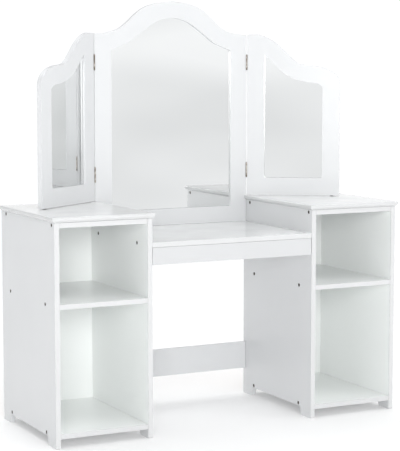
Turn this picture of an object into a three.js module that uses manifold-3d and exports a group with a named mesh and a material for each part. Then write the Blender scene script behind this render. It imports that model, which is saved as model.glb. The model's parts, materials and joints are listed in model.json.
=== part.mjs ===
// Vanity table with a three-panel folding mirror, child size.
// Millimetres, X to the right, Y to the back, Z up. The origin lies on the floor, in the middle
// of the outline. Everything that comes in pairs is drawn for the right side and mirrored.

import * as THREE from 'three';
import { mergeVertices } from 'three/addons/utils/BufferGeometryUtils.js';
import Module from 'manifold-3d';

const wasm = await Module();
wasm.setup();

// ---------------------------------------------------------------- driving dimensions

const BOARD = 12;                // thickness of every painted board
const GAP = 0.3;                 // clearance between pieces that touch

const DEPTH = 349;               // side panels, front edge to back edge
const CABINET_WIDTH = 246;       // outside of one cabinet, without its top
const KNEE_WIDTH = 436;          // clear width between the cabinets
const TOP_OVERHANG_FRONT = 5;
const TOP_OVERHANG_SIDE = 6;

const FOOT_LENGTH = 45;          // along the floor, under each panel corner
const FOOT_SLANT = 8;            // how much longer the foot is where it meets the panel
const FOOT_HEIGHT = 22;
const FOOT_ROUNDING = 3;

const BOTTOM_Z = 22.4;           // undersides of the horizontal boards
const SHELF_Z = 324;
const DESK_Z = 454.6;
const TOP_Z = 524;

const TOP_LOWER_CHAMFER = 5;
const TOP_UPPER_CHAMFER = 1.5;
const RAIL_DEPTH = 35;
const APRON_HEIGHT = 41.3;
const APRON_END_GAP = 1.2;
const STRETCHER_Z = 69.5;
const STRETCHER_HEIGHT = 71;

const BACK_PANEL = 3;            // thin back of each cabinet, held in grooves in the sides
const BACK_PANEL_SETBACK = 11;
const GROOVE_DEPTH = 4;

const SHOULDER_Z = 959;          // top of the mirror frames where the panels meet
const WING_WIDTH = 246;
const WING_Z = 537.5;            // underside of the wings, just above the cabinet tops
const WING_REST_ANGLE = 36;      // degrees forward of the centre panel
const STILE = 47;
const CENTRE_GLASS_Z = 509;      // bottom edges of the visible glass
const WING_GLASS_Z = 583;
const WING_OUTER_STILE = 46;
const OPENING_ROUNDING = 5;

const LIP = 5.5;                 // frame in front of the glass
const GLASS = 3;
const GLASS_REBATE = 6;          // how far the glass runs behind the lip
const BACKING = 2.5;
const BACKING_REBATE = 14;

const HINGE_Z = [604, 887];      // centres of the lower and upper hinges
const HINGE_LENGTH = 38;
const LEAF = 1;
const LEAF_REACH = 11.5;         // pin axis to the rear edge of a leaf
const PIN_RADIUS = 0.8;
const PIN_CAP_REACH = 1.4;        // each end of a pin beyond its hinge
const KNUCKLE_RADIUS = 1.9;
const PIN_SETBACK = 1;           // pin axis in front of the mirror faces
const PANEL_EDGE_GAP = 0.5;      // mirror edge to the pin axis, measured across

const FRONT_SCREW = 61;          // shelf, bottom and desk screws, from the front edge
const BACK_SCREW = 57;           // and from the back edge
const RAIL_FRONT_SCREW = 17;
const RAIL_BACK_SCREW = 32;

// Curves of the frames: distance from the middle (or from the hinge), height above the shoulder.
const CENTRE_CREST = [
  [192, 1], [164, 7], [144, 16], [124, 32], [104, 50], [84, 64], [63, 73], [39, 79], [0, 83],
];
const CENTRE_OPENING = [[124, -23], [96, -3], [63, 20], [35, 35], [0, 41]];
const CENTRE_OPENING_CORNER = -41;
const WING_CREST = [
  [34, 0], [71, -17], [104, -47], [121, -63], [138, -75], [155, -78], [177, -80], [197, -84],
  [217, -91], [234, -103], [242, -114], [246, -129],
];
const WING_OPENING = [
  [75, -80], [98, -100], [121, -113], [149, -122], [171, -125], [188, -128], [200, -136],
];
const WING_OPENING_CORNER = -52;

// ---------------------------------------------------------------- derived positions

const BACK = (DEPTH + TOP_OVERHANG_FRONT) / 2;
const FRONT = BACK - DEPTH;
const INNER = KNEE_WIDTH / 2;                    // knee-side face of the inner panel
const OUTER = INNER + CABINET_WIDTH;             // outside face of the outer panel
const BAY_START = INNER + BOARD;                 // inside of one cabinet
const BAY_END = OUTER - BOARD;
const BACK_PANEL_FRONT = BACK - BACK_PANEL_SETBACK - BACK_PANEL;
const MIRROR_FACE = BACK - BOARD;
const PIN_Y = MIRROR_FACE - PIN_SETBACK;
const CENTRE_HALF = INNER - PANEL_EDGE_GAP;
const GLASS_START = LIP + GAP;
const BACKING_RECESS = BOARD - 3;
const BACKING_START = BACKING_RECESS + GAP;

// ---------------------------------------------------------------- materials

function material(colour, roughness, metalness) {
  return new THREE.MeshStandardMaterial({ color: colour, roughness, metalness });
}

const PAINT = material('#f2f2f0', 0.35, 0);
const PANEL_PAINT = material('#e9e9e6', 0.5, 0);
const MIRROR = material('#dde1e4', 0.03, 1);
const HARDBOARD = material('#8d6f4f', 0.8, 0);
const BRONZE = material('#4b4037', 0.45, 0.85);
const NICKEL = material('#8f8579', 0.4, 0.9);
const NYLON = material('#2d2c2b', 0.5, 0);

// ---------------------------------------------------------------- solids and booleans

function toManifold(geometry) {
  const bare = geometry.clone();
  bare.deleteAttribute('normal');
  bare.deleteAttribute('uv');
  const clean = mergeVertices(bare, 1e-4);
  return new wasm.Manifold(new wasm.Mesh({
    numProp: 3,
    vertProperties: new Float32Array(clean.attributes.position.array),
    triVerts: new Uint32Array(clean.index.array),
  }));
}

function fromManifold(solid) {
  const mesh = solid.getMesh();
  const geometry = new THREE.BufferGeometry();
  geometry.setAttribute('position', new THREE.BufferAttribute(mesh.vertProperties, 3));
  geometry.setIndex(new THREE.BufferAttribute(mesh.triVerts, 1));
  return geometry;
}

function cut(geometry, tools) {
  let solid = toManifold(geometry);
  for (const tool of tools) {
    solid = solid.subtract(toManifold(tool));
  }
  return fromManifold(solid);
}

function join(pieces) {
  let solid = toManifold(pieces[0]);
  for (const piece of pieces.slice(1)) {
    solid = solid.add(toManifold(piece));
  }
  return fromManifold(solid);
}

function mirrored(geometry) {
  const copy = geometry.clone().applyMatrix4(new THREE.Matrix4().makeScale(-1, 1, 1));
  if (!copy.index) {
    return mirroredSoup(copy);
  }
  const index = copy.index.array;
  for (let i = 0; i < index.length; i += 3) {
    const second = index[i + 1];
    index[i + 1] = index[i + 2];
    index[i + 2] = second;
  }
  return copy;
}

function mirroredSoup(geometry) {
  const merged = mergeVertices(geometry, 1e-4);
  const index = merged.index.array;
  for (let i = 0; i < index.length; i += 3) {
    const second = index[i + 1];
    index[i + 1] = index[i + 2];
    index[i + 2] = second;
  }
  return merged;
}

function box(x0, x1, y0, y1, z0, z1) {
  const block = new THREE.BoxGeometry(x1 - x0, y1 - y0, z1 - z0);
  return block.translate((x0 + x1) / 2, (y0 + y1) / 2, (z0 + z1) / 2);
}

// A solid of revolution about Z. The profile runs from the top to the bottom and starts and
// ends on the axis.
function turned(profile, segments) {
  const positions = [];
  const index = [];
  const starts = [];
  for (const [radius, height] of profile) {
    starts.push(positions.length / 3);
    const count = radius === 0 ? 1 : segments;
    for (let j = 0; j < count; j += 1) {
      const angle = (2 * Math.PI * j) / segments;
      positions.push(radius * Math.cos(angle), radius * Math.sin(angle), height);
    }
  }
  for (let i = 0; i + 1 < profile.length; i += 1) {
    for (let j = 0; j < segments; j += 1) {
      const next = (j + 1) % segments;
      const upper = profile[i][0] === 0 ? [starts[i], starts[i]] : [starts[i] + j, starts[i] + next];
      const last = i + 1;
      const lower = profile[last][0] === 0
        ? [starts[last], starts[last]]
        : [starts[last] + j, starts[last] + next];
      if (lower[0] !== lower[1]) {
        index.push(lower[0], lower[1], upper[1]);
      }
      if (upper[0] !== upper[1]) {
        index.push(lower[0], upper[1], upper[0]);
      }
    }
  }
  const geometry = new THREE.BufferGeometry();
  geometry.setAttribute('position', new THREE.Float32BufferAttribute(positions, 3));
  geometry.setIndex(index);
  return geometry;
}

// Turns a piece drawn along -Z so that it points along the given direction from a point.
function aim(geometry, point, direction) {
  const turn = new THREE.Quaternion().setFromUnitVectors(
    new THREE.Vector3(0, 0, -1),
    new THREE.Vector3(...direction),
  );
  return geometry.clone().applyQuaternion(turn).translate(...point);
}

// A flat shape in the Y-Z plane, thickened along X.
function sidePrism(points, x0, x1) {
  const shape = new THREE.Shape(points.map(([a, b]) => new THREE.Vector2(a, b)));
  const solid = new THREE.ExtrudeGeometry(shape, { depth: x1 - x0, bevelEnabled: false });
  const basis = new THREE.Matrix4().makeBasis(
    new THREE.Vector3(0, 1, 0),
    new THREE.Vector3(0, 0, 1),
    new THREE.Vector3(1, 0, 0),
  );
  return solid.applyMatrix4(basis).translate(x0, 0, 0);
}

// A flat shape in the X-Z plane, thickened along Y.
function facePrism(points, y0, y1) {
  const shape = new THREE.Shape(points.map(([a, b]) => new THREE.Vector2(a, b)));
  const solid = new THREE.ExtrudeGeometry(shape, { depth: y1 - y0, bevelEnabled: false });
  return solid.rotateX(Math.PI / 2).translate(0, y1, 0);
}

// Joins outlines of equal point count, each at its own height, and closes both ends.
function stacked(levels) {
  const count = levels[0].points.length;
  const positions = [];
  const index = [];
  for (const level of levels) {
    for (const [x, y] of level.points) {
      positions.push(x, y, level.z);
    }
  }
  for (let i = 0; i + 1 < levels.length; i += 1) {
    for (let j = 0; j < count; j += 1) {
      const next = (j + 1) % count;
      const low = i * count;
      const high = low + count;
      index.push(low + j, low + next, high + next);
      index.push(low + j, high + next, high + j);
    }
  }
  const contour = levels[0].points.map(([x, y]) => new THREE.Vector2(x, y));
  const top = (levels.length - 1) * count;
  for (const [a, b, c] of THREE.ShapeUtils.triangulateShape(contour, [])) {
    index.push(a, c, b);
    index.push(top + a, top + b, top + c);
  }
  const geometry = new THREE.BufferGeometry();
  geometry.setAttribute('position', new THREE.Float32BufferAttribute(positions, 3));
  geometry.setIndex(index);
  return geometry;
}

// ---------------------------------------------------------------- outlines

function spline(points, divisions) {
  const curve = new THREE.SplineCurve(points.map(([a, b]) => new THREE.Vector2(a, b)));
  return curve.getSpacedPoints(divisions).map((p) => [p.x, p.y]);
}

// Rounds the corners of an anticlockwise outline that turn by more than 20 degrees, except the
// sharp ones listed.
function roundCorners(points, radius, sharp = [], steps = 3) {
  const rounded = [];
  const count = points.length;
  for (let i = 0; i < count; i += 1) {
    const before = new THREE.Vector2(...points[(i + count - 1) % count]);
    const corner = new THREE.Vector2(...points[i]);
    const after = new THREE.Vector2(...points[(i + 1) % count]);
    const room = 0.45 * Math.min(before.distanceTo(corner), after.distanceTo(corner));
    const inward = before.sub(corner).normalize();
    const outward = after.sub(corner).normalize();
    const turn = Math.PI - Math.acos(THREE.MathUtils.clamp(inward.dot(outward), -1, 1));
    if (turn < THREE.MathUtils.degToRad(20) || sharp.includes(i)) {
      rounded.push(points[i]);
      continue;
    }
    const trim = Math.min(radius * Math.tan(turn / 2), room);
    const start = corner.clone().addScaledVector(inward, trim);
    const end = corner.clone().addScaledVector(outward, trim);
    const arc = new THREE.QuadraticBezierCurve(start, corner, end);
    for (const point of arc.getPoints(steps)) {
      rounded.push([point.x, point.y]);
    }
  }
  return rounded;
}

// Grows an anticlockwise outline by the same distance all round.
function grown(points, distance) {
  const count = points.length;
  return points.map(([x, y], i) => {
    const [px, py] = points[(i + count - 1) % count];
    const [nx, ny] = points[(i + 1) % count];
    const first = new THREE.Vector2(y - py, px - x).normalize();
    const second = new THREE.Vector2(ny - y, x - nx).normalize();
    const scale = distance / (1 + first.dot(second));
    return [x + (first.x + second.x) * scale, y + (first.y + second.y) * scale];
  });
}

function aboveShoulder(points) {
  return points.map(([distance, height]) => [distance, SHOULDER_Z + height]);
}

function bothSides(points) {
  const right = points.slice(0, -1);
  const left = right.map(([x, z]) => [-x, z]).reverse();
  return [...right, points[points.length - 1], ...left];
}

function centreOutline() {
  const base = DESK_Z + BOARD + GAP;
  const crest = bothSides(aboveShoulder([[CENTRE_HALF, 0], ...CENTRE_CREST]));
  return [[-CENTRE_HALF, base], [CENTRE_HALF, base], ...spline(crest, 60)];
}

function centreOpening() {
  const side = INNER - STILE;
  const arch = bothSides(aboveShoulder([[side, CENTRE_OPENING_CORNER], ...CENTRE_OPENING]));
  const outline = [[-side, CENTRE_GLASS_Z], [side, CENTRE_GLASS_Z], ...spline(arch, 40)];
  return roundCorners(outline, OPENING_ROUNDING);
}

function wingOutline() {
  const crest = aboveShoulder([[PANEL_EDGE_GAP, 0], ...WING_CREST]).reverse();
  return [[PANEL_EDGE_GAP, WING_Z], [WING_WIDTH, WING_Z], ...spline(crest, 44)];
}

function wingOpening() {
  const arch = aboveShoulder([[STILE, WING_OPENING_CORNER], ...WING_OPENING]).reverse();
  const far = WING_WIDTH - WING_OUTER_STILE;
  const outline = [[STILE, WING_GLASS_Z], [far, WING_GLASS_Z], ...spline(arch, 26)];
  return roundCorners(outline, OPENING_ROUNDING);
}

function sideOutline() {
  const footFront = FRONT + FOOT_LENGTH;
  const footBack = BACK - FOOT_LENGTH;
  const outline = [
    [FRONT, 0], [footFront, 0], [footFront + FOOT_SLANT, FOOT_HEIGHT],
    [footBack - FOOT_SLANT, FOOT_HEIGHT], [footBack, 0], [BACK, 0],
    [BACK, TOP_Z - GAP], [FRONT, TOP_Z - GAP],
  ];
  return roundCorners(outline, FOOT_ROUNDING, [6, 7], 2);
}

function topOutline(inset) {
  const left = INNER - TOP_OVERHANG_SIDE + inset;
  const right = OUTER + TOP_OVERHANG_SIDE - inset;
  const front = FRONT - TOP_OVERHANG_FRONT + inset;
  const notch = MIRROR_FACE - GAP;
  return [[left, front], [right, front], [right, BACK], [INNER, BACK], [INNER, notch], [left, notch]];
}

// ---------------------------------------------------------------- screws

// The head top lies at the aimed point. The bore leaves clearance round head and shank.
const SCREW = { head: 4.4, height: 1.8, shank: 2, length: 36, sink: 0.6 };

function screwBody() {
  const head = turned([
    [0, 0], [SCREW.head - 0.5, 0], [SCREW.head, -0.5], [SCREW.head, -SCREW.height],
    [0, -SCREW.height],
  ], 16);
  const stem = turned([
    [0, -0.6], [SCREW.shank, -0.6], [SCREW.shank, 2 - SCREW.length], [0, -SCREW.length],
  ], 6);
  return join([head, stem]);
}

function screwBore() {
  const wide = SCREW.head + GAP;
  const narrow = SCREW.shank + GAP;
  const floor = -SCREW.height - GAP;
  const end = -SCREW.length - 0.5;
  const pocket = turned([[0, 1], [wide, 1], [wide, floor], [0, floor]], 20);
  const hole = turned([[0, 0], [narrow, 0], [narrow, end], [0, end]], 6);
  return join([pocket, hole]);
}

// Screws driven along X into a face at the given X: one for each [name, y, z].
function driven(x, direction, places) {
  const body = screwBody();
  const bore = screwBore();
  const sunk = x + direction * SCREW.sink;
  return places.map(([name, y, z]) => ({
    name,
    body: aim(body, [sunk, y, z], [direction, 0, 0]),
    bore: aim(bore, [sunk, y, z], [direction, 0, 0]),
  }));
}

function bores(...sets) {
  return sets.flat().map((screw) => screw.bore);
}

// ---------------------------------------------------------------- the assembly

const group = new THREE.Group();
group.name = 'vanity_table_with_mirror';

function add(name, geometry, finish) {
  const flat = geometry.index ? geometry.toNonIndexed() : geometry.clone();
  flat.deleteAttribute('uv');
  flat.computeVertexNormals();
  const mesh = new THREE.Mesh(flat, finish);
  mesh.name = name;
  group.add(mesh);
}

function addPair(name, geometry, finish) {
  add(`right_${name}`, geometry, finish);
  add(`left_${name}`, mirrored(geometry), finish);
}

// Places along Y and Z where a side panel is screwed to the boards between the sides.
const RAIL_MIDDLE = TOP_Z - GAP - BOARD / 2;
const BOARD_FIXINGS = [
  ['front_rail', FRONT + RAIL_FRONT_SCREW, RAIL_MIDDLE],
  ['back_rail', BACK - RAIL_BACK_SCREW, RAIL_MIDDLE],
  ['shelf_front', FRONT + FRONT_SCREW, SHELF_Z + BOARD / 2],
  ['shelf_back', BACK - BACK_SCREW, SHELF_Z + BOARD / 2],
  ['bottom_front', FRONT + FRONT_SCREW, BOTTOM_Z + BOARD / 2],
  ['bottom_back', BACK - BACK_SCREW, BOTTOM_Z + BOARD / 2],
];
const DESK_FIXINGS = [
  ['desk_front', FRONT + FRONT_SCREW, DESK_Z + BOARD / 2],
  ['desk_back', BACK - BACK_SCREW, DESK_Z + BOARD / 2],
];

const outerScrews = driven(OUTER, -1, BOARD_FIXINGS);
const innerScrews = driven(INNER, 1, BOARD_FIXINGS);
const deskScrews = driven(BAY_START, -1, DESK_FIXINGS);

function buildCabinets() {
  const outline = sideOutline();
  const grooveY = [BACK_PANEL_FRONT - GAP, BACK_PANEL_FRONT + BACK_PANEL + GAP];
  const grooveZ = [BOTTOM_Z - GAP, TOP_Z + 1];
  const innerGroove = box(BAY_START - GROOVE_DEPTH, BAY_START + 1, ...grooveY, ...grooveZ);
  const outerGroove = box(BAY_END - 1, BAY_END + GROOVE_DEPTH, ...grooveY, ...grooveZ);
  const outer = sidePrism(outline, BAY_END, OUTER);
  const inner = sidePrism(outline, INNER, BAY_START);
  addPair('outer_side', cut(outer, [outerGroove, ...bores(outerScrews)]), PAINT);
  addPair('inner_side', cut(inner, [innerGroove, ...bores(innerScrews, deskScrews)]), PAINT);

  const left = BAY_START + GAP;
  const right = BAY_END - GAP;
  const rear = BACK_PANEL_FRONT - GAP;
  const railZ = TOP_Z - GAP - BOARD;
  const boards = [
    ['top_front_rail', FRONT, FRONT + RAIL_DEPTH, railZ],
    ['top_back_rail', rear - RAIL_DEPTH, rear, railZ],
    ['shelf', FRONT, rear, SHELF_Z],
    ['bottom_board', FRONT, rear, BOTTOM_Z],
  ];
  const boardBores = bores(outerScrews, innerScrews);
  for (const [name, front, back, z] of boards) {
    addPair(name, cut(box(left, right, front, back, z, z + BOARD), boardBores), PAINT);
  }

  const reach = GROOVE_DEPTH - GAP;
  addPair('back_panel', box(
    BAY_START - reach, BAY_END + reach,
    BACK_PANEL_FRONT, BACK_PANEL_FRONT + BACK_PANEL,
    BOTTOM_Z, TOP_Z - GAP,
  ), PANEL_PAINT);

  addPair('cabinet_top', stacked([
    { z: TOP_Z, points: topOutline(TOP_LOWER_CHAMFER) },
    { z: TOP_Z + TOP_LOWER_CHAMFER, points: topOutline(0) },
    { z: TOP_Z + BOARD - TOP_UPPER_CHAMFER, points: topOutline(0) },
    { z: TOP_Z + BOARD, points: topOutline(TOP_UPPER_CHAMFER) },
  ]), PAINT);

  for (const screw of outerScrews) {
    add(`left_outer_screw_${screw.name}`, mirrored(screw.body), BRONZE);
  }
  for (const screw of innerScrews) {
    add(`right_inner_screw_${screw.name}`, screw.body, BRONZE);
  }
  for (const screw of deskScrews) {
    addPair(`screw_${screw.name}`, screw.body, BRONZE);
  }
}

function buildDesk() {
  const half = INNER - GAP;
  const apronHalf = INNER - APRON_END_GAP;
  const apronTop = DESK_Z - GAP;
  const deskBores = bores(deskScrews);
  const desk = box(-half, half, FRONT, BACK, DESK_Z, DESK_Z + BOARD);
  add('desk_top', cut(desk, [...deskBores, ...deskBores.map(mirrored)]), PAINT);
  add('desk_apron', box(
    -apronHalf, apronHalf, FRONT, FRONT + BOARD, apronTop - APRON_HEIGHT, apronTop,
  ), PAINT);
  add('rear_stretcher', box(
    -half, half, MIRROR_FACE, BACK, STRETCHER_Z, STRETCHER_Z + STRETCHER_HEIGHT,
  ), PAINT);
}

// One mirror: a frame with a stepped rebate, the glass and the backing. The face of the frame
// lies at the given Y and the frame runs back from it.
function buildMirror(outline, opening, face, frameCuts) {
  const behind = face + BOARD + 1;
  const through = facePrism(opening, face - 1, behind);
  const glassRebate = facePrism(grown(opening, GLASS_REBATE), face + LIP, behind);
  const backRebate = facePrism(grown(opening, BACKING_REBATE), face + BACKING_RECESS, behind);
  const glassFace = face + GLASS_START;
  const backingFace = face + BACKING_START;
  const glassEdge = grown(opening, GLASS_REBATE - 0.5);
  const backingEdge = grown(opening, BACKING_REBATE - 0.5);
  return {
    frame: cut(
      facePrism(outline, face, face + BOARD),
      [through, glassRebate, backRebate, ...frameCuts],
    ),
    glass: facePrism(glassEdge, glassFace, glassFace + GLASS),
    backing: facePrism(backingEdge, backingFace, backingFace + BACKING),
  };
}

// Hinge pieces are drawn about the pin axis. The fixed leaf lies on the centre-panel side of the
// axis and the moving leaf on the wing side, both running back from the pin.
function hingeLeaf(side, ownKnuckles) {
  const half = HINGE_LENGTH / 2;
  const pitch = HINGE_LENGTH / 5;
  const near = side > 0 ? 0.15 : -0.15 - LEAF;
  const far = near + LEAF;
  const plateStart = KNUCKLE_RADIUS + GAP;
  const pieces = [box(near, far, plateStart, LEAF_REACH, -half, half)];
  for (const slot of ownKnuckles) {
    const low = -half + slot * pitch + 0.1;
    const high = -half + (slot + 1) * pitch - 0.1;
    const barrel = [[0, high], [KNUCKLE_RADIUS, high], [KNUCKLE_RADIUS, low], [0, low]];
    pieces.push(box(near, far, 0, plateStart + 0.5, low, high));
    pieces.push(turned(barrel, 16));
  }
  const bore = PIN_RADIUS + 0.2;
  const end = half + 1;
  const pinHole = turned([[0, end], [bore, end], [bore, -end], [0, -end]], 10);
  return cut(join(pieces), [pinHole]);
}

function hingePin() {
  const end = HINGE_LENGTH / 2 + 0.2;
  const tip = HINGE_LENGTH / 2 + PIN_CAP_REACH;
  const cap = KNUCKLE_RADIUS - 0.3;
  return turned([
    [0, tip], [cap * 0.6, tip], [cap, tip - 0.6], [cap, end], [PIN_RADIUS, end],
    [PIN_RADIUS, -end], [cap, -end], [cap, 0.6 - tip], [cap * 0.6, -tip],
    [0, -tip],
  ], 10);
}

// Recesses in a mirror edge: a flat one for each leaf and a round one for each barrel and pin.
function mortises(side) {
  const depth = 0.15 + LEAF + GAP;
  const half = HINGE_LENGTH / 2 + GAP;
  const x = side > 0 ? [0, depth] : [-depth, 0];
  const round = KNUCKLE_RADIUS + GAP;
  const end = HINGE_LENGTH / 2 + PIN_CAP_REACH + GAP;
  const barrel = turned([[0, end], [round, end], [round, -end], [0, -end]], 16);
  return HINGE_Z.flatMap((z) => [
    box(...x, 0, LEAF_REACH + GAP, z - half, z + half),
    barrel.clone().translate(0, 0, z),
  ]);
}

function toCentre(geometry) {
  return geometry.clone().translate(INNER, PIN_Y, 0);
}

function toWing(geometry) {
  const turn = -THREE.MathUtils.degToRad(WING_REST_ANGLE);
  return geometry.clone().rotateZ(turn).translate(INNER, PIN_Y, 0);
}

function buildMirrors() {
  const fixedCuts = mortises(-1).map(toCentre);
  const centreCuts = [...fixedCuts, ...fixedCuts.map(mirrored)];
  const centre = buildMirror(centreOutline(), centreOpening(), MIRROR_FACE, centreCuts);
  add('centre_mirror_frame', centre.frame, PAINT);
  add('centre_mirror_glass', centre.glass, MIRROR);
  add('centre_mirror_backing', centre.backing, HARDBOARD);

  // A stemmed glide under the outer end of each wing, just clear of the cabinet top.
  const glidePlace = [WING_WIDTH - 20, PIN_SETBACK + BOARD / 2, WING_Z];
  const glide = turned([
    [0, 9], [1.8, 9], [1.8, -0.3], [5, -0.3], [4.6, -1.2], [0, -1.2],
  ], 12).translate(...glidePlace);
  const glideHole = turned([[0, 9.5], [2.1, 9.5], [2.1, -1], [0, -1]], 8);
  const wingCuts = [...mortises(1), glideHole.translate(...glidePlace)];
  const wing = buildMirror(wingOutline(), wingOpening(), PIN_SETBACK, wingCuts);
  addPair('wing_frame', toWing(wing.frame), PAINT);
  addPair('wing_glass', toWing(wing.glass), MIRROR);
  addPair('wing_backing', toWing(wing.backing), HARDBOARD);
  addPair('wing_glide', toWing(glide), NYLON);

  const fixedLeaf = hingeLeaf(-1, [0, 2, 4]);
  const wingLeaf = hingeLeaf(1, [1, 3]);
  ['lower', 'upper'].forEach((name, i) => {
    const lift = [0, 0, HINGE_Z[i]];
    const fixed = fixedLeaf.clone().translate(...lift);
    const moving = wingLeaf.clone().translate(...lift);
    addPair(`${name}_hinge_fixed_leaf`, toCentre(fixed), NICKEL);
    addPair(`${name}_hinge_wing_leaf`, toWing(moving), NICKEL);
    addPair(`${name}_hinge_pin`, toCentre(hingePin().translate(...lift)), NICKEL);
  });
}

buildCabinets();
buildDesk();
buildMirrors();

export default group;
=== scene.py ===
"""Looks of the vanity table with a three-panel folding mirror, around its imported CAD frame.

Metres, X to the right, Y to the back, Z up. The CAD boards, hinges and mirrors are kept, with
rounded edges and procedural finishes. Screws, nail heads and other small hardware are built here.
"""

import json
import math

import bpy
import bmesh
from mathutils import Matrix, Vector


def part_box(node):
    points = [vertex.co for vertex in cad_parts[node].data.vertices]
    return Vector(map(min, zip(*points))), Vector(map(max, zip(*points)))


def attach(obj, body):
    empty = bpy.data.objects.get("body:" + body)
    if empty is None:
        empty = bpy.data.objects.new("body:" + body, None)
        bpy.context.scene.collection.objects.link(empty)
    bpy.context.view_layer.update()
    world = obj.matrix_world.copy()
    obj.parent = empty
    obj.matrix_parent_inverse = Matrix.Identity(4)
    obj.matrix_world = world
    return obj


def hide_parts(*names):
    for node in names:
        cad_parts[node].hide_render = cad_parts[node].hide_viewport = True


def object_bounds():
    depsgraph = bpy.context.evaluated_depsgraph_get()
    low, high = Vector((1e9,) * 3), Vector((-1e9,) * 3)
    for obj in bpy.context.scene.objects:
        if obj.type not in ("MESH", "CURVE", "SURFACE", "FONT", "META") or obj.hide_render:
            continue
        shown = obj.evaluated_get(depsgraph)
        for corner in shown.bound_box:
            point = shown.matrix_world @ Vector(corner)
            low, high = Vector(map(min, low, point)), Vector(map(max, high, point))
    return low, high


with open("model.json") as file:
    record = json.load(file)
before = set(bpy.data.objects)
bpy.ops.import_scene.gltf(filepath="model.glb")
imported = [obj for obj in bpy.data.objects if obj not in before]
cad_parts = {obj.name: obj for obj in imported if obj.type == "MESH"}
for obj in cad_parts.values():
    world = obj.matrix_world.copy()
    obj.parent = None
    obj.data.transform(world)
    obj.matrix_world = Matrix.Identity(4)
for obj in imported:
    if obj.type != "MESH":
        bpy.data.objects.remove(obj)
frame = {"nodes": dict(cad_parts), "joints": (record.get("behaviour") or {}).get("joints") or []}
cad_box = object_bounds()
nodes = frame["nodes"]
joints = {joint["name"]: joint for joint in frame["joints"]}

MM = 0.001
SHADED_EDGE_DEPTH = 1.2 * MM              # how far the painted shade on a front edge reaches behind it
FACE_MARGIN = 0.4 * MM             # slack in telling one face of a board from another
TOP_MARGIN = 0.3 * MM              # the same below the upper face of a top
PANEL_FACE = 2.6 * MM              # behind this depth a cabinet back shows its bare side
WING_BACK = 12.8 * MM              # rear face of a wing behind its hinge pin
# The wings rest this far forward of the centre mirror, and lie flat behind it at this limit.
REST_ANGLE = math.radians(-joints["left_wing_hinge"]["range_deg"][0])
TABLE = "table"
WINGS = {"left": "left_wing", "right": "right_wing"}


# ---------------------------------------------------------------- node helpers

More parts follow.
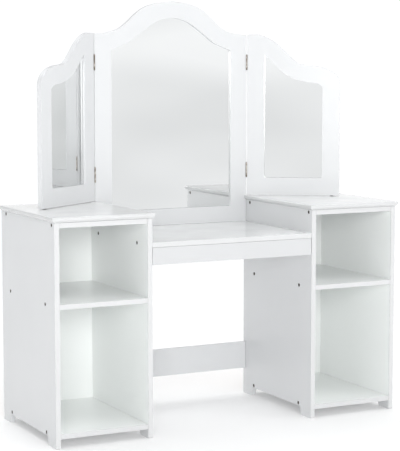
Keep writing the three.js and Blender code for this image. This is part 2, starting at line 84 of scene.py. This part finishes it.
class Finish:
    """A Principled material and short calls for the nodes that feed it."""

    def __init__(self, name, **sockets):
        self.material = bpy.data.materials.new(name)
        self.material.use_nodes = True
        self.tree = self.material.node_tree
        self.shader = self.tree.nodes["Principled BSDF"]
        for socket, value in sockets.items():
            self.shader.inputs[socket.replace("_", " ")].default_value = value
        coordinates = self.tree.nodes.new("ShaderNodeTexCoord")
        self.position = coordinates.outputs["Object"]

    def node(self, kind, **settings):
        made = self.tree.nodes.new(kind)
        for key, value in settings.items():
            setattr(made, key, value)
        return made

    def link(self, source, target):
        self.tree.links.new(source, target)

    def noise(self, scale, detail=3.0, roughness=0.5, stretch=(1, 1, 1), tilt=0.0):
        mapping = self.node("ShaderNodeMapping")
        mapping.inputs["Scale"].default_value = stretch
        mapping.inputs["Rotation"].default_value = (0, tilt, 0)
        self.link(self.position, mapping.inputs["Vector"])
        texture = self.node("ShaderNodeTexNoise")
        texture.inputs["Scale"].default_value = scale
        texture.inputs["Detail"].default_value = detail
        texture.inputs["Roughness"].default_value = roughness
        self.link(mapping.outputs["Vector"], texture.inputs["Vector"])
        return texture.outputs["Fac"]

    def ramp(self, value, low, high, start=0.3, end=0.7):
        """Maps a 0 to 1 value to a colour or a number between two ends."""
        if isinstance(low, (int, float)):
            made = self.node("ShaderNodeMapRange")
            made.inputs["From Min"].default_value = start
            made.inputs["From Max"].default_value = end
            made.inputs["To Min"].default_value = low
            made.inputs["To Max"].default_value = high
            self.link(value, made.inputs["Value"])
            return made.outputs["Result"]
        made = self.node("ShaderNodeValToRGB")
        made.color_ramp.elements[0].position = start
        made.color_ramp.elements[1].position = end
        made.color_ramp.elements[0].color = (*low, 1)
        made.color_ramp.elements[1].color = (*high, 1)
        self.link(value, made.inputs["Fac"])
        return made.outputs["Color"]

    def mix(self, factor, first, second):
        made = self.node("ShaderNodeMix", data_type="RGBA")
        self.link(factor, made.inputs["Factor"])
        for socket, value in (("A", first), ("B", second)):
            target = [s for s in made.inputs if s.name == socket and s.type == "RGBA"][0]
            if isinstance(value, tuple):
                target.default_value = (*value, 1)
            else:
                self.link(value, target)
        return [s for s in made.outputs if s.type == "RGBA"][0]

    def colour(self, source):
        self.link(source, self.shader.inputs["Base Color"])

    def rough(self, source):
        self.link(source, self.shader.inputs["Roughness"])

    def bump(self, layers):
        """Stacks bumps, each a height, its depth in metres and its strength."""
        previous = None
        for height, depth, strength in layers:
            made = self.node("ShaderNodeBump")
            made.inputs["Distance"].default_value = depth
            made.inputs["Strength"].default_value = strength
            self.link(height, made.inputs["Height"])
            if previous is not None:
                self.link(previous, made.inputs["Normal"])
            previous = made.outputs["Normal"]
        self.link(previous, self.shader.inputs["Normal"])

    def math(self, operation, first, second=None, clamped=False):
        """One Math node. Each operand is a socket to read or a number."""
        made = self.node("ShaderNodeMath", operation=operation, use_clamp=clamped)
        for target, value in zip(made.inputs, (first, second)):
            if isinstance(value, (int, float)):
                target.default_value = value
            elif value is not None:
                self.link(value, target)
        return made.outputs["Value"]

    def beyond(self, axis, limit, mirrored=False):
        """1 where the surface lies past a limit along an axis, else 0."""
        split = self.node("ShaderNodeSeparateXYZ")
        self.link(self.position, split.inputs["Vector"])
        value = split.outputs[axis]
        if mirrored:
            value = self.math("ABSOLUTE", value)
        return self.math("GREATER_THAN", value, limit)

    def painted_light_inside_cabinets(self):
        """1 on the faces that close off the two cabinets' compartments, where the lacquer gets
        painted light, else 0.
        """
        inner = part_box("right_inner_side")[1].x
        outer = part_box("right_outer_side")[0].x
        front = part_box("right_outer_side")[0].y
        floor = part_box("right_bottom_board")[1].z
        past_inner = self.beyond("X", inner - FACE_MARGIN, mirrored=True)
        behind_edge = self.beyond("Y", front + SHADED_EDGE_DEPTH)
        above_floor = self.beyond("Z", floor - FACE_MARGIN)
        past_outer = self.beyond("X", outer + FACE_MARGIN, mirrored=True)
        within = self.math("MULTIPLY", past_inner, behind_edge)
        within = self.math("MULTIPLY", within, above_floor)
        return self.math("SUBTRACT", within, past_outer, clamped=True)


# ---------------------------------------------------------------- finishes

# Painted light: the faces inside the compartments get a brighter white than the same lacquer
# outside, to cancel their shade.
INSIDE_PAINTED_LIGHT_LOW, INSIDE_PAINTED_LIGHT_HIGH = (0.925, 0.945, 0.935), (0.94, 0.96, 0.95)
# Painted shade: a greyer white on front edges and below the upper face of a top.
EDGE_PAINTED_SHADE_LOW, EDGE_PAINTED_SHADE_HIGH = (0.60, 0.605, 0.61), (0.62, 0.625, 0.63)


def lacquer(name, low, high, roughness, coat, coat_roughness, cabinet=False, face=None):
    """Sprayed white lacquer on fibreboard: slight mottling, orange peel and long waves.

    Painted shade makes the front edges of the cabinet boards, and everything below the upper face
    of a top, greyer. Painted light makes the faces inside the cabinets' compartments brighter.
    """
    finish = Finish(name, Coat_Weight=coat, Coat_Roughness=coat_roughness, IOR=1.48)
    mottling = finish.noise(5.0, 4.0)
    colour = finish.ramp(mottling, low, high)
    # Painted shade colour for front edges and for a top below its upper face.
    painted_edge_shade = finish.ramp(mottling, EDGE_PAINTED_SHADE_LOW, EDGE_PAINTED_SHADE_HIGH)
    if cabinet:
        # Painted light: a brighter white on the compartments' faces, to cancel their shade.
        inside = finish.ramp(mottling, INSIDE_PAINTED_LIGHT_LOW, INSIDE_PAINTED_LIGHT_HIGH)
        colour = finish.mix(finish.painted_light_inside_cabinets(), colour, inside)
        # Painted shade: a greyer white on the front edge of every cabinet board.
        behind_edge = finish.beyond("Y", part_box("left_outer_side")[0].y + SHADED_EDGE_DEPTH)
        colour = finish.mix(behind_edge, painted_edge_shade, colour)
    if face:
        # Painted shade: a greyer white below the upper face of a top.
        upper_face = finish.beyond("Z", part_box(face)[1].z - TOP_MARGIN)
        colour = finish.mix(upper_face, painted_edge_shade, colour)
    finish.colour(colour)
    finish.rough(finish.ramp(finish.noise(9.0, 3.0), roughness - 0.03, roughness + 0.04))
    finish.bump([
        (finish.noise(9.0, 2.0), 0.0012, 0.035),
        (finish.noise(260.0, 1.0), 0.00006, 0.08),
    ])
    return finish.material


def hardboard_colour(finish):
    fibre = finish.noise(260.0, 5.0, 0.65, (1, 1, 0.35))
    blotch = finish.noise(12.0, 4.0)
    dark = finish.ramp(fibre, (0.16, 0.09, 0.045), (0.33, 0.205, 0.115))
    light = finish.ramp(fibre, (0.24, 0.145, 0.08), (0.40, 0.26, 0.155))
    return finish.mix(blotch, dark, light), fibre


def hardboard():
    """Bare hardboard with pressed fibres."""
    finish = Finish("bare_hardboard")
    colour, fibre = hardboard_colour(finish)
    finish.colour(colour)
    finish.rough(finish.ramp(fibre, 0.72, 0.9))
    finish.bump([(fibre, 0.0003, 0.4)])
    return finish.material


def faced_panel():
    """Thin cabinet back: white face inside, bare hardboard outside."""
    finish = Finish("white_faced_hardboard", IOR=1.48)
    outside = finish.beyond("Y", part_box("left_back_panel")[0].y + PANEL_FACE)
    brown, fibre = hardboard_colour(finish)
    # The white face takes the compartments' painted light: a brighter white than the lacquer
    # outside.
    white = finish.ramp(finish.noise(6.0, 4.0), INSIDE_PAINTED_LIGHT_LOW, INSIDE_PAINTED_LIGHT_HIGH)
    finish.colour(finish.mix(outside, white, brown))
    finish.rough(finish.ramp(outside, 0.38, 0.8, 0.0, 1.0))
    finish.bump([(fibre, 0.00015, 0.15)])
    return finish.material


def silvered_glass():
    """Flat mirror with faint wiping haze in its roughness, and painted diagonal bands of
    reflection in its colour.
    """
    finish = Finish("silvered_glass", Metallic=1.0)
    haze = finish.noise(7.0, 5.0, 0.6, (1, 1, 0.5))
    # Painted sheen: broad diagonal bands of brighter and darker reflection in the mirror's
    # colour.
    painted_sheen = finish.noise(3.4, 1.0, 0.3, (0.55, 0.55, 1.5), math.radians(-40))
    finish.colour(finish.ramp(painted_sheen, (0.75, 0.759, 0.758), (0.875, 0.883, 0.881), 0.36, 0.64))
    finish.rough(finish.ramp(haze, 0.012, 0.035))
    return finish.material


def metal(name, dark, light, roughness, grain_scale):
    """Plated steel: worn highs, darker lows and fine scratches."""
    finish = Finish(name, Metallic=1.0)
    grain = finish.noise(grain_scale, 5.0, 0.6)
    tarnish = finish.noise(grain_scale * 0.2, 3.0, 0.6)
    scratches = finish.noise(grain_scale * 1.8, 3.0, 0.6, (1, 1, 0.12))
    worn = finish.ramp(grain, tuple(0.75 * part for part in light), light)
    finish.colour(finish.mix(finish.ramp(tarnish, 0.0, 1.0, 0.4, 0.6), dark, worn))
    finish.rough(finish.ramp(scratches, roughness - 0.08, roughness + 0.14))
    finish.bump([(grain, 0.00008, 0.35), (scratches, 0.00004, 0.25)])
    return finish.material


def nylon():
    finish = Finish("dark_nylon")
    grain = finish.noise(900.0, 3.0)
    finish.colour(finish.ramp(grain, (0.018, 0.017, 0.016), (0.034, 0.032, 0.03)))
    finish.rough(finish.ramp(grain, 0.42, 0.58))
    finish.bump([(grain, 0.0001, 0.3)])
    return finish.material


# Roughness, then the clear coat's weight and roughness.
SATIN = (0.32, 0.2, 0.15)
GLOSSY = (0.18, 0.5, 0.05)
# Painted light: the upper faces of the tops are a brighter white than the same lacquer elsewhere.
TOP_PAINTED_LIGHT_LOW, TOP_PAINTED_LIGHT_HIGH = (0.82, 0.827, 0.827), (0.845, 0.852, 0.852)

FRAME_WHITE = lacquer("white_lacquer", (0.66, 0.669, 0.678), (0.68, 0.689, 0.697), *SATIN)
CABINET_WHITE = lacquer("white_lacquer_cabinet", (0.665, 0.674, 0.683), (0.685, 0.694, 0.702),
                        *SATIN, cabinet=True)
# Painted shade: the apron is a greyer white than the other lacquer, for the shade it sits in
# below the desk top.
SHADED_APRON_WHITE = lacquer("white_lacquer_apron_painted_shade", (0.56, 0.567, 0.575), (0.58, 0.587, 0.595), *SATIN)
CABINET_TOP_WHITE = lacquer("white_lacquer_cabinet_top", TOP_PAINTED_LIGHT_LOW, TOP_PAINTED_LIGHT_HIGH, *GLOSSY,
                            face="left_cabinet_top")
DESK_TOP_WHITE = lacquer("white_lacquer_desk_top", TOP_PAINTED_LIGHT_LOW, TOP_PAINTED_LIGHT_HIGH, *GLOSSY, face="desk_top")
PANEL = faced_panel()
HARDBOARD = hardboard()
MIRROR = silvered_glass()
BRONZE = metal("bronzed_steel", (0.03, 0.02, 0.013), (0.085, 0.055, 0.034), 0.45, 900.0)
NICKEL = metal("antique_nickel", (0.12, 0.10, 0.08), (0.52, 0.48, 0.44), 0.34, 700.0)
ZINC = metal("zinc_plated_steel", (0.42, 0.43, 0.43), (0.66, 0.66, 0.64), 0.32, 800.0)
NYLON = nylon()


def finish_of(name):
    if name == "desk_top":
        return DESK_TOP_WHITE
    if name.endswith("_top"):
        return CABINET_TOP_WHITE
    for word, material in (
        ("glass", MIRROR), ("backing", HARDBOARD), ("back_panel", PANEL), ("hinge", NICKEL),
        ("glide", NYLON), ("screw", BRONZE),
    ):
        if word in name:
            return material
    if "frame" in name:
        return FRAME_WHITE
    return SHADED_APRON_WHITE if name == "desk_apron" else CABINET_WHITE


# ---------------------------------------------------------------- CAD nodes

WELD_DISTANCE = 0.02 * MM
FLAT_ANGLE = math.radians(0.4)     # facets closer than this are one flat face
ROUNDED_ANGLE = math.radians(38)   # edges sharper than this are rounded
EDGE_ROUNDING = 0.9 * MM
SMALL_ROUNDING = {"hinge": 0.22 * MM, "glide": 0.3 * MM, "glass": 0.25 * MM, "back": 0.25 * MM}


def rounding_of(name):
    for word, width in SMALL_ROUNDING.items():
        if word in name and "rail" not in name:
            return width
    return EDGE_ROUNDING


def dress(name, obj):
    """Merges a CAD node's facets, rounds its edges and gives it its finish."""
    for polygon in obj.data.polygons:
        polygon.use_smooth = True
        polygon.material_index = 0
    obj.data.materials.clear()
    obj.data.materials.append(finish_of(name))
    weld = obj.modifiers.new("merge", "WELD")
    weld.merge_threshold = WELD_DISTANCE
    planar = obj.modifiers.new("flat_faces", "DECIMATE")
    planar.decimate_type = "DISSOLVE"
    planar.angle_limit = FLAT_ANGLE
    bevel = obj.modifiers.new("rounded_edges", "BEVEL")
    bevel.width = rounding_of(name)
    bevel.segments = 3
    bevel.limit_method = "ANGLE"
    bevel.angle_limit = ROUNDED_ANGLE
    bevel.use_clamp_overlap = True
    bevel.harden_normals = True
    normals = obj.modifiers.new("shading", "WEIGHTED_NORMAL")
    normals.keep_sharp = True
    normals.weight = 80


for node_name in sorted(nodes):
    dress(node_name, nodes[node_name])


# ---------------------------------------------------------------- small hardware

def ringed(rings, segments):
    """A closed surface through rings of points round Z, given from the inside top outwards.

    Each ring is (radius, height, sides): with sides above 0 the ring follows a polygon with
    that many sides, whose flats lie at the radius.
    """
    bm = bmesh.new()
    loops = []
    for radius, height, sides in rings:
        if radius == 0:
            loops.append([bm.verts.new((0, 0, height))])
            continue
        loop = []
        for step in range(segments):
            angle = 2 * math.pi * step / segments
            reach = radius
            if sides:
                sector = 2 * math.pi / sides
                reach = radius / math.cos((angle + sector / 2) % sector - sector / 2)
            loop.append(bm.verts.new((reach * math.cos(angle), reach * math.sin(angle), height)))
        loops.append(loop)
    for upper, lower in zip(loops, loops[1:]):
        for step in range(segments):
            following = (step + 1) % segments
            if len(upper) == 1:
                bm.faces.new((upper[0], lower[step], lower[following]))
            elif len(lower) == 1:
                bm.faces.new((upper[step], lower[0], upper[following]))
            else:
                bm.faces.new((upper[step], lower[step], lower[following], upper[following]))
    bmesh.ops.recalc_face_normals(bm, faces=bm.faces)
    return bm


def to_mesh(bm, name, smooth_angle=35):
    mesh = bpy.data.meshes.new(name)
    bm.to_mesh(mesh)
    bm.free()
    mesh.shade_smooth()
    mesh.set_sharp_from_angle(angle=math.radians(smooth_angle))
    return mesh


# Radius, height and socket sides in millimetres: the socket, the head, then the shank.
PANEL_SCREW_RINGS = [
    (0, -1.15, 0), (1.95, -1.15, 6), (2.0, -0.12, 6), (2.12, 0.0, 6),
    (3.6, 0.0, 0), (4.05, -0.06, 0), (4.3, -0.25, 0), (4.4, -0.55, 0), (4.4, -1.5, 0),
    (4.25, -1.75, 0), (2.0, -1.8, 0), (2.0, -33.8, 0), (0, -35.8, 0),
]
PANEL_SCREW_SEGMENTS = 36
PANEL_SCREW_TWIST = 0.61           # radians from one screw to the next, so no sockets line up
TWIN_TWISTS = 3                    # a screw's twin is turned this many steps further


def panel_screw_mesh():
    """Flat-headed furniture screw with a hexagon socket and a shank, head top at Z = 0."""
    rings = [(radius * MM, z * MM, sides) for radius, z, sides in PANEL_SCREW_RINGS]
    return to_mesh(ringed(rings, PANEL_SCREW_SEGMENTS), "panel_screw")


SOCKET_SIDES = 4
HEAD_FOOT = -0.2 * MM              # small heads reach this far into what they hold
HEAD_SEGMENTS = 24
HEAD_TWIST = 0.7                   # radians from one small head to the next


def pan_head(radius, height):
    """Low round head with a square socket, standing on Z = 0."""
    rings = [
        (0, height * 0.25, 0), (radius * 0.24, height * 0.25, SOCKET_SIDES),
        (radius * 0.28, height * 0.94, SOCKET_SIDES), (radius * 0.34, height, SOCKET_SIDES),
        (radius * 0.66, height * 0.93, 0), (radius * 0.88, height * 0.68, 0),
        (radius, height * 0.25, 0), (radius, HEAD_FOOT, 0), (0, HEAD_FOOT, 0),
    ]
    return ringed(rings, HEAD_SEGMENTS)


def heads_mesh(name, places, radius, height):
    """Several identical heads in one mesh. Each place is a point and the way the head faces."""
    whole = bmesh.new()
    for order, (point, facing) in enumerate(places):
        head = pan_head(radius, height)
        turn = Vector((0, 0, 1)).rotation_difference(Vector(facing)).to_matrix().to_4x4()
        twist = Matrix.Rotation(HEAD_TWIST * order, 4, "Z")
        head.transform(Matrix.Translation(point) @ turn @ twist)
        part = bpy.data.meshes.new("head_part")
        head.to_mesh(part)
        head.free()
        whole.from_mesh(part)
        bpy.data.meshes.remove(part)
    return to_mesh(whole, name)


def add_piece(name, mesh, material, body):
    obj = bpy.data.objects.new(name, mesh)
    bpy.context.scene.collection.objects.link(obj)
    if not mesh.materials:
        mesh.materials.append(material)
    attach(obj, body)
    return obj


def add_screw(name, mesh, head, direction, order):
    """Places a panel screw with its head at a point and its shank along a direction."""
    obj = bpy.data.objects.new(name, mesh)
    bpy.context.scene.collection.objects.link(obj)
    turn = Vector((0, 0, -1)).rotation_difference(Vector(direction)).to_matrix().to_4x4()
    twist = Matrix.Rotation(PANEL_SCREW_TWIST * order, 4, "Z")
    obj.matrix_world = Matrix.Translation(head) @ turn @ twist
    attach(obj, TABLE)
    return obj


def screw_place(name):
    """Head point and driving direction of a CAD screw, from its box and its name."""
    low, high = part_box(name)
    y, z = (low.y + high.y) / 2, (low.z + high.z) / 2
    inward = 1 if ("left_outer" in name or "right_inner" in name) else -1
    if "desk" in name:
        inward = 1 if name.startswith("left") else -1
    head_x = low.x if inward > 0 else high.x
    return Vector((head_x, y, z)), Vector((inward, 0, 0))


screw_mesh = panel_screw_mesh()
screw_mesh.materials.append(BRONZE)
for order, node_name in enumerate(sorted(n for n in nodes if "screw" in n)):
    head, direction = screw_place(node_name)
    screw = add_screw(node_name + "_socket_head", screw_mesh, head, direction, order)
    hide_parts(node_name)
    if "desk" in node_name:
        continue
    twin = node_name.replace("left_outer", "right_outer").replace("right_inner", "left_inner")
    mirrored_head = Vector((-head.x, head.y, head.z))
    add_screw(twin if twin != node_name else node_name + "_twin", screw_mesh, mirrored_head,
              -direction, order + TWIN_TWISTS)


def wing_point(side, u, v, z):
    """A point on a wing at rest: u from the pin along the wing, v back from the pin."""
    pin = Vector(joints[f"{side}_wing_hinge"]["pos_m"])
    sign = -1 if side == "left" else 1
    across = Vector((sign * math.cos(REST_ANGLE), -math.sin(REST_ANGLE), 0))
    back = Vector((sign * math.sin(REST_ANGLE), math.cos(REST_ANGLE), 0))
    return Vector((pin.x, pin.y, 0)) + across * u + back * v + Vector((0, 0, z)), across, back


LEAF_FACE = 0.15 * MM              # leaf surface from the pin axis, across the mirror
LEAF_SCREW_DEPTH = 6.9 * MM        # leaf screws behind the pin axis
LEAF_SCREW_RISE = 11 * MM          # leaf screws above and below a hinge's middle
LEAF_HEAD = (2.2 * MM, 0.1 * MM)   # radius and height


def hinge_screw_heads():
    """Two countersunk screws in each leaf, seen in the gap when a wing swings."""
    fixed = []
    for side, sign in (("left", -1), ("right", 1)):
        moving = []
        pin = Vector(joints[f"{side}_wing_hinge"]["pos_m"])
        for level in ("lower", "upper"):
            low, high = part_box(f"{side}_{level}_hinge_fixed_leaf")
            middle = (low.z + high.z) / 2
            for height in (middle - LEAF_SCREW_RISE, middle + LEAF_SCREW_RISE):
                point = Vector((pin.x - sign * LEAF_FACE, pin.y + LEAF_SCREW_DEPTH, height))
                fixed.append((point, (sign, 0, 0)))
                point, across, _ = wing_point(side, LEAF_FACE, LEAF_SCREW_DEPTH, height)
                moving.append((point, -across))
        mesh = heads_mesh(f"{side}_wing_hinge_screws", moving, *LEAF_HEAD)
        add_piece(mesh.name, mesh, NICKEL, WINGS[side])
    mesh = heads_mesh("centre_hinge_screws", fixed, *LEAF_HEAD)
    add_piece(mesh.name, mesh, NICKEL, TABLE)


# Backing screws in millimetres: from the middle or from the hinge pin, and above the floor.
CENTRE_BACKING_SCREWS = [(x, z) for x in (-181, 181) for z in (560, 690, 820, 905)]
CENTRE_BACKING_SCREWS += [(-110, 502), (0, 502), (110, 502), (0, 1007.5), (-98, 966), (98, 966)]
WING_BACKING_SCREWS = [
    (37, 620), (37, 740), (37, 860), (210, 620), (210, 710), (210, 800), (90, 576), (160, 576),
    (118, 857), (160, 844),
]
BACKING_HEAD = (2.5 * MM, 0.8 * MM)


def backing_screw_heads():
    """Small screws round each mirror backing."""
    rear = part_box("centre_mirror_backing")[1].y
    places = []
    for x, z in CENTRE_BACKING_SCREWS:
        places.append((Vector((x * MM, rear, z * MM)), (0, 1, 0)))
    mesh = heads_mesh("centre_backing_screws", places, *BACKING_HEAD)
    add_piece(mesh.name, mesh, ZINC, TABLE)
    for side in ("left", "right"):
        places = []
        for u, z in WING_BACKING_SCREWS:
            point, _, back = wing_point(side, u * MM, WING_BACK, z * MM)
            places.append((point, back))
        mesh = heads_mesh(f"{side}_wing_backing_screws", places, *BACKING_HEAD)
        add_piece(mesh.name, mesh, ZINC, WINGS[side])


PIN_SHARES = (0.1, 0.37, 0.63, 0.9)    # along each board, as shares of the panel's width
PIN_HEAD = (1.5 * MM, 0.35 * MM)


def back_panel_pins():
    """Nail heads that hold the thin cabinet backs to the boards behind them."""
    for side in ("left", "right"):
        low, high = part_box(f"{side}_back_panel")
        span = high.x - low.x
        places = []
        for board in ("bottom_board", "shelf", "top_back_rail"):
            board_low, board_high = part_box(f"{side}_{board}")
            middle = (board_low.z + board_high.z) / 2
            for share in PIN_SHARES:
                places.append((Vector((low.x + share * span, high.y, middle)), (0, 1, 0)))
        mesh = heads_mesh(f"{side}_back_panel_pins", places, *PIN_HEAD)
        add_piece(mesh.name, mesh, ZINC, TABLE)


REAR_FIXING_HEIGHTS = (88 * MM, 122 * MM, 483 * MM, 500 * MM)   # stretcher, then mirror
REAR_FIXING_HEAD = (3.2 * MM, 1.4 * MM)


def rear_fixing_heads():
    """Screws through the inner sides into the stretcher and the centre mirror."""
    places = []
    stretcher_low, stretcher_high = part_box("rear_stretcher")
    middle_y = (stretcher_low.y + stretcher_high.y) / 2
    for side, sign in (("left", -1), ("right", 1)):
        low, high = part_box(f"{side}_inner_side")
        face = low.x if sign < 0 else high.x
        for z in REAR_FIXING_HEIGHTS:
            places.append((Vector((face, middle_y, z)), (sign, 0, 0)))
    mesh = heads_mesh("rear_fixing_screws", places, *REAR_FIXING_HEAD)
    add_piece(mesh.name, mesh, ZINC, TABLE)


hinge_screw_heads()
backing_screw_heads()
back_panel_pins()
rear_fixing_heads()


# ---------------------------------------------------------------- studio

FLOOR_HALF = 4.0
FLOOR_GAP = 0.2 * MM
HORIZON, FRONT_HORIZON = 1.06, 1.0
SKY_SIDE, SKY_TOP, SKY_LEFT, SKY_BEHIND = 0.28, 1.6, 0.52, 2.4
# Where each change of the world starts and ends along its axis, for directions of length 1.
BAND_EDGE = (0.03, 0.22)
OVERHEAD_RISE = (0.45, 1.0)
LEFT_RISE = (-1.0, -0.25)
BEHIND_RISE = (0.2, 0.8)
FRONT_FALL = (-0.35, 0.1)
FLOOR_FALL = (-0.04, 0.03)
KEY_PLACE, KEY_AIM = (-1.75, -4.2, 1.2), (0.0, 0.0, 0.42)
KEY_SIZE, KEY_POWER = (2.2, 1.4), 104
FILL_PLACE, FILL_AIM = (3.2, -2.6, 2.0), (0.0, 0.1, 0.6)
FILL_SIZE, FILL_POWER = (2.0, 2.0), 26
CAMERA_PLACE = (-1.730, -3.366, 0.880)
CAMERA_DIP, CAMERA_TURN = 6.03, 27.14          # degrees below level, and right of straight on
CAMERA_LENS, CAMERA_SENSOR = 121.29, 36.0      # millimetres


def studio_floor():
    mesh = bpy.data.meshes.new("studio_floor")
    half = FLOOR_HALF
    mesh.from_pydata(
        [(-half, -half, 0), (half, -half, 0), (half, half, 0), (-half, half, 0)],
        [], [(0, 1, 2, 3)],
    )
    floor = bpy.data.objects.new("studio_floor", mesh)
    bpy.context.scene.collection.objects.link(floor)
    floor.location.z = cad_box[0][2] - FLOOR_GAP
    finish = Finish("pale_floor", Emission_Strength=0.15, Specular_IOR_Level=0.2)
    finish.shader.inputs["Emission Color"].default_value = (1, 1, 1, 1)
    grain = finish.noise(3.0, 3.0)
    finish.colour(finish.ramp(grain, (0.84, 0.84, 0.84), (0.86, 0.86, 0.86)))
    finish.shader.inputs["Roughness"].default_value = 0.7
    mesh.materials.append(finish.material)


def studio_world():
    """Bright at and below the horizon, dim above it, and brighter overhead and behind."""
    world = bpy.data.worlds.new("studio")
    bpy.context.scene.world = world
    world.use_nodes = True
    tree = world.node_tree
    background = tree.nodes["Background"]
    background.inputs["Color"].default_value = (0.985, 0.992, 1.0, 1)
    coordinates = tree.nodes.new("ShaderNodeTexCoord")
    split = tree.nodes.new("ShaderNodeSeparateXYZ")
    tree.links.new(coordinates.outputs["Generated"], split.inputs["Vector"])

    def mapped(axis, stretch, low, high):
        """Goes smoothly from low to high along an axis, between the two ends of a stretch."""
        made = tree.nodes.new("ShaderNodeMapRange")
        made.interpolation_type = "SMOOTHSTEP"
        for socket, value in (
            ("From Min", stretch[0]), ("From Max", stretch[1]), ("To Min", low), ("To Max", high),
        ):
            made.inputs[socket].default_value = value
        tree.links.new(split.outputs[axis], made.inputs["Value"])
        return made.outputs["Result"]

    def combined(operation, first, second):
        """One Math node. Each operand is a socket to read or a number."""
        made = tree.nodes.new("ShaderNodeMath")
        made.operation = operation
        for target, value in zip(made.inputs, (first, second)):
            if isinstance(value, (int, float)):
                target.default_value = value
            else:
                tree.links.new(value, target)
        return made.outputs["Value"]

    overhead = mapped("Z", OVERHEAD_RISE, SKY_SIDE, SKY_TOP)
    from_left = mapped("X", LEFT_RISE, SKY_LEFT, 1.0)
    behind = mapped("Y", BEHIND_RISE, 1.0, SKY_BEHIND)
    upper = combined("MULTIPLY", combined("MULTIPLY", overhead, from_left), behind)
    band = mapped("Z", BAND_EDGE, 1.0, 0.0)
    above_band = mapped("Z", BAND_EDGE, 0.0, 1.0)
    in_front = mapped("Y", FRONT_FALL, 1.0, 0.0)
    below = mapped("Z", FLOOR_FALL, HORIZON - FRONT_HORIZON, 0.0)
    horizon = combined("SUBTRACT", HORIZON, combined("MULTIPLY", in_front, below))
    low_part = combined("MULTIPLY", horizon, band)
    high_part = combined("MULTIPLY", upper, above_band)
    strength = combined("ADD", low_part, high_part)
    tree.links.new(strength, background.inputs["Strength"])


def area_light(name, location, target, size, power, colour=(1, 1, 1)):
    data = bpy.data.lights.new(name, "AREA")
    data.shape = "RECTANGLE"
    data.size, data.size_y = size
    data.energy = power
    data.color = colour
    light = bpy.data.objects.new(name, data)
    bpy.context.scene.collection.objects.link(light)
    light.location = location
    aim = Vector(target) - Vector(location)
    light.rotation_euler = aim.to_track_quat("-Z", "Y").to_euler()


def camera():
    data = bpy.data.cameras.new("camera")
    data.sensor_width = CAMERA_SENSOR
    data.lens = CAMERA_LENS
    data.clip_end = 200.0
    obj = bpy.data.objects.new("camera", data)
    bpy.context.scene.collection.objects.link(obj)
    obj.location = CAMERA_PLACE
    obj.rotation_euler = (math.radians(90 - CAMERA_DIP), 0, math.radians(-CAMERA_TURN))
    bpy.context.scene.camera = obj


studio_floor()
studio_world()
area_light("front_softbox", KEY_PLACE, KEY_AIM, KEY_SIZE, KEY_POWER)
area_light("right_softbox", FILL_PLACE, FILL_AIM, FILL_SIZE, FILL_POWER)
camera()
bpy.context.scene.view_settings.view_transform = "Standard"
